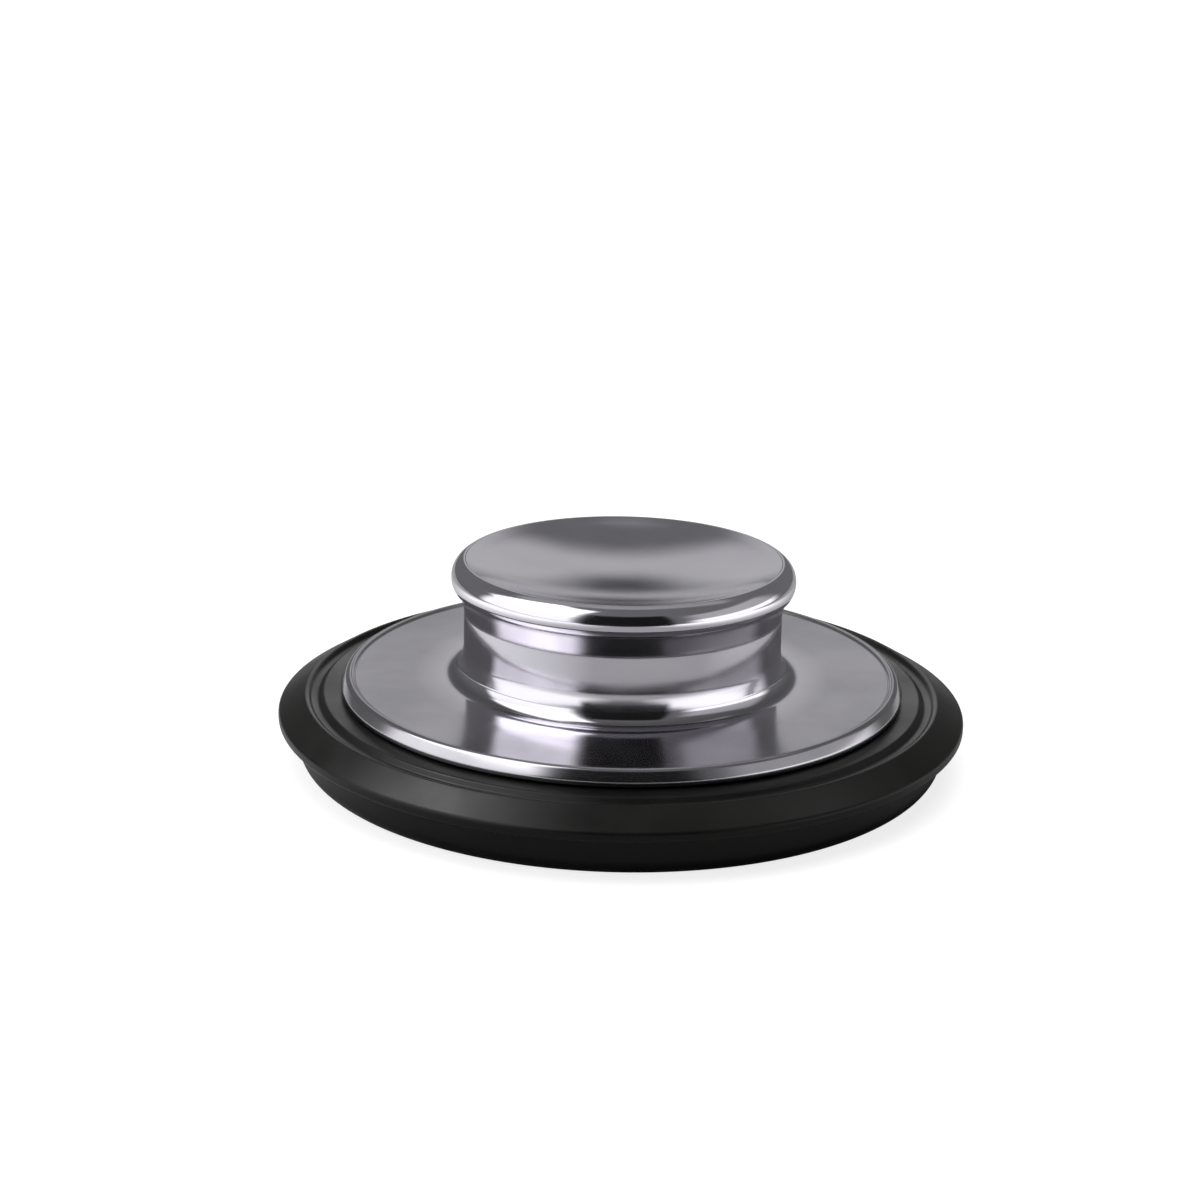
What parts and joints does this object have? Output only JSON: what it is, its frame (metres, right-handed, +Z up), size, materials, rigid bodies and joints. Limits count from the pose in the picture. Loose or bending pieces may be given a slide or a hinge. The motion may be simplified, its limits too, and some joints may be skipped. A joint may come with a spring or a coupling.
{
  "type": "drain stopper",
  "caption": "Sink drain stopper: waisted polished-steel knob with a dished top on a round flange, over a black rubber seal with a conical lip and a plug skirt.",
  "frame": {"origin": "middle of the flat foot of the rubber skirt, on the stopper's axis", "axes": "+Z up along the stopper's axis, from the rubber skirt to the dished top of the knob; X and Y are free, as the stopper is round"},
  "size_m": [0.086, 0.086, 0.025],
  "materials": {
    "polished_steel": "mirror-polished stainless steel",
    "plate_steel": "plain mill-finish stainless steel",
    "black_rubber": "smooth moulded black rubber",
    "washer_rubber": "matt soft rubber",
    "core_plastic": "matt moulded plastic",
    "insert_brass": "machined brass"
  },
  "bodies": {
    "root": {"knob_cap": "polished_steel", "knob_body": "polished_steel", "core_hub": "core_plastic", "threaded_insert": "insert_brass", "seal_ring": "black_rubber", "clamp_plate": "plate_steel", "sealing_washer": "washer_rubber", "flat_washer": "plate_steel", "clamp_screw": "plate_steel"}
  },
  "joints": []
}
